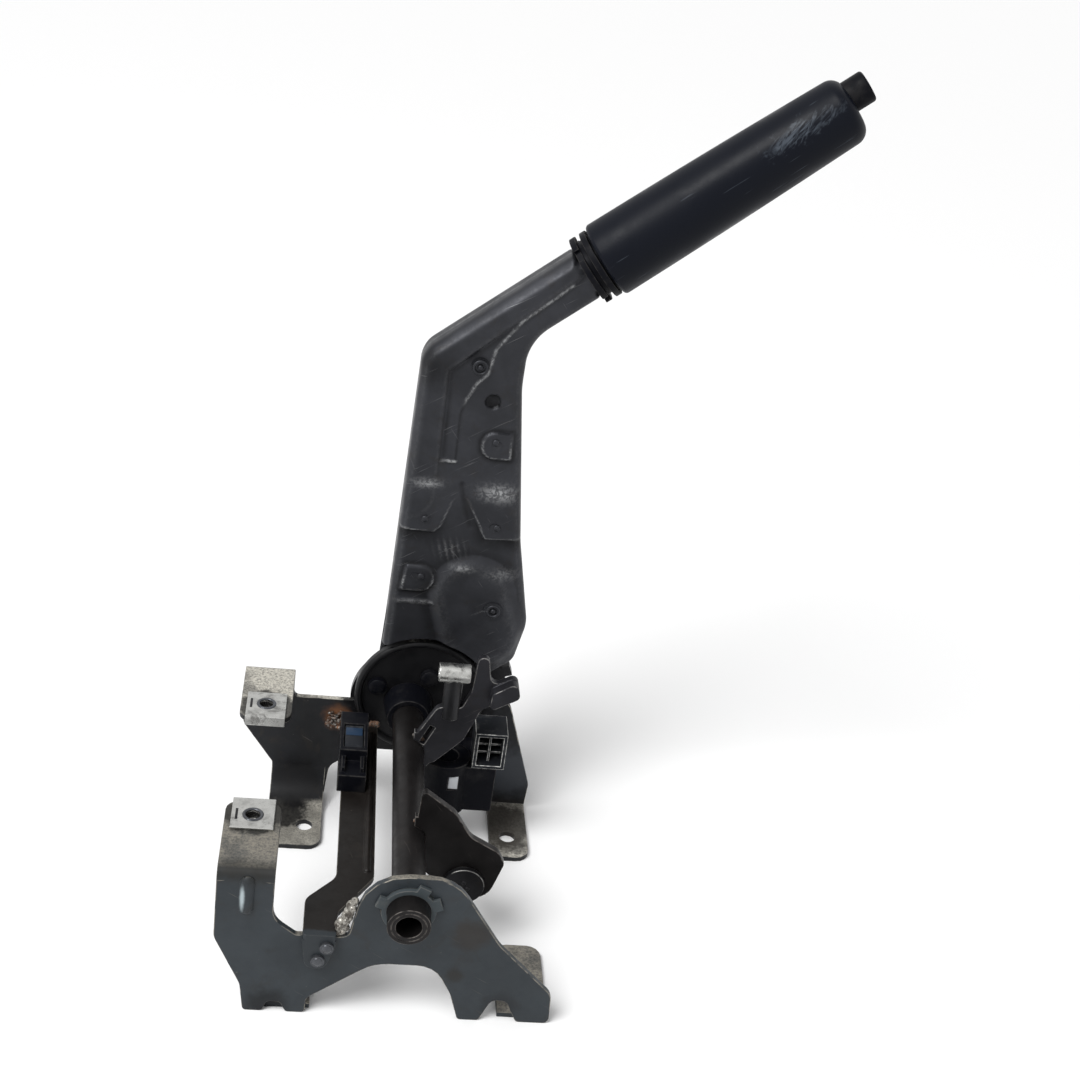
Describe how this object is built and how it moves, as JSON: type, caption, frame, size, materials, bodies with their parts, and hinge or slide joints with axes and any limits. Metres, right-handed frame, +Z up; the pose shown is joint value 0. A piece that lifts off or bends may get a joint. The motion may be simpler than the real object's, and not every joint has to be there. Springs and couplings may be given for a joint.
{
  "type": "parking brake lever",
  "caption": "Pressed steel parking brake lever on a cross tube between two floor brackets, with a ratchet, a release button and cable cranks.",
  "frame": {"origin": "middle of the four floor bolt holes, on the floor face of the feet", "axes": "+X along the lever's reach towards the button, +Y along the cross tube towards the lever, +Z up from the floor"},
  "size_m": [0.2684, 0.2007, 0.4243],
  "materials": {
    "bracket_paint": "worn satin",
    "far_bracket_paint": "worn satin",
    "strap_paint": "worn satin",
    "lever_steel": "satin, scratched",
    "tube_steel": "satin",
    "hard_steel": "dark, oiled",
    "zinc": "zinc plated",
    "bush_plastic": "matte",
    "black_plastic": "matte",
    "socket_plastic": "matte",
    "grip_plastic": "smooth satin"
  },
  "bodies": {
    "bracket": {"near_bracket": "bracket_paint", "far_bracket": "far_bracket_paint", "cross_strap": "strap_paint", "strap_rivets": "zinc", "near_clip_nut": "zinc", "far_clip_nut": "zinc", "near_bush": "bush_plastic", "far_bush": "black_plastic", "ratchet_sector": "hard_steel", "sector_rivets": "zinc", "warning_switch": "black_plastic", "cable_guide": "black_plastic", "cable_guide_socket": "socket_plastic"},
    "lever": {"pivot_tube": "tube_steel", "pivot_sleeve": "tube_steel", "lever_shell_near": "lever_steel", "lever_shell_far": "lever_steel", "shell_rivets": "zinc", "pawl_pin": "zinc", "grip_core": "black_plastic", "grip": "grip_plastic", "spring_seat": "black_plastic", "button_spring": "zinc", "pull_arm": "tube_steel", "cable_stud": "hard_steel", "cable_barrel": "zinc", "lower_crank": "tube_steel", "cable_pin": "hard_steel"},
    "release": {"release_button": "grip_plastic", "release_rod": "zinc"},
    "pawl": {"pawl": "hard_steel"}
  },
  "joints": [
    {"name": "lever_pivot", "type": "hinge", "parent": "bracket", "child": "lever", "pos_m": [-0.005, 0, 0.066], "axis": [0, -1, 0], "range_deg": [0, 36]},
    {"name": "button_press", "type": "slide", "parent": "lever", "child": "release", "axis": [-0.766, 0, -0.6428], "range_m": [0, 0.005], "stiffness_N_per_m": 1500, "springref_m": -0.002, "deforming": ["button_spring"]},
    {"name": "pawl_turn", "type": "hinge", "parent": "lever", "child": "pawl", "pos_m": [0.033, 0.086, 0.132], "axis": [0, -1, 0], "range_deg": [0, 22.5]}
  ],
  "couplings": [
    {"joint": "pawl_turn", "follows": "button_press", "rad_per_m": 76.923}
  ]
}
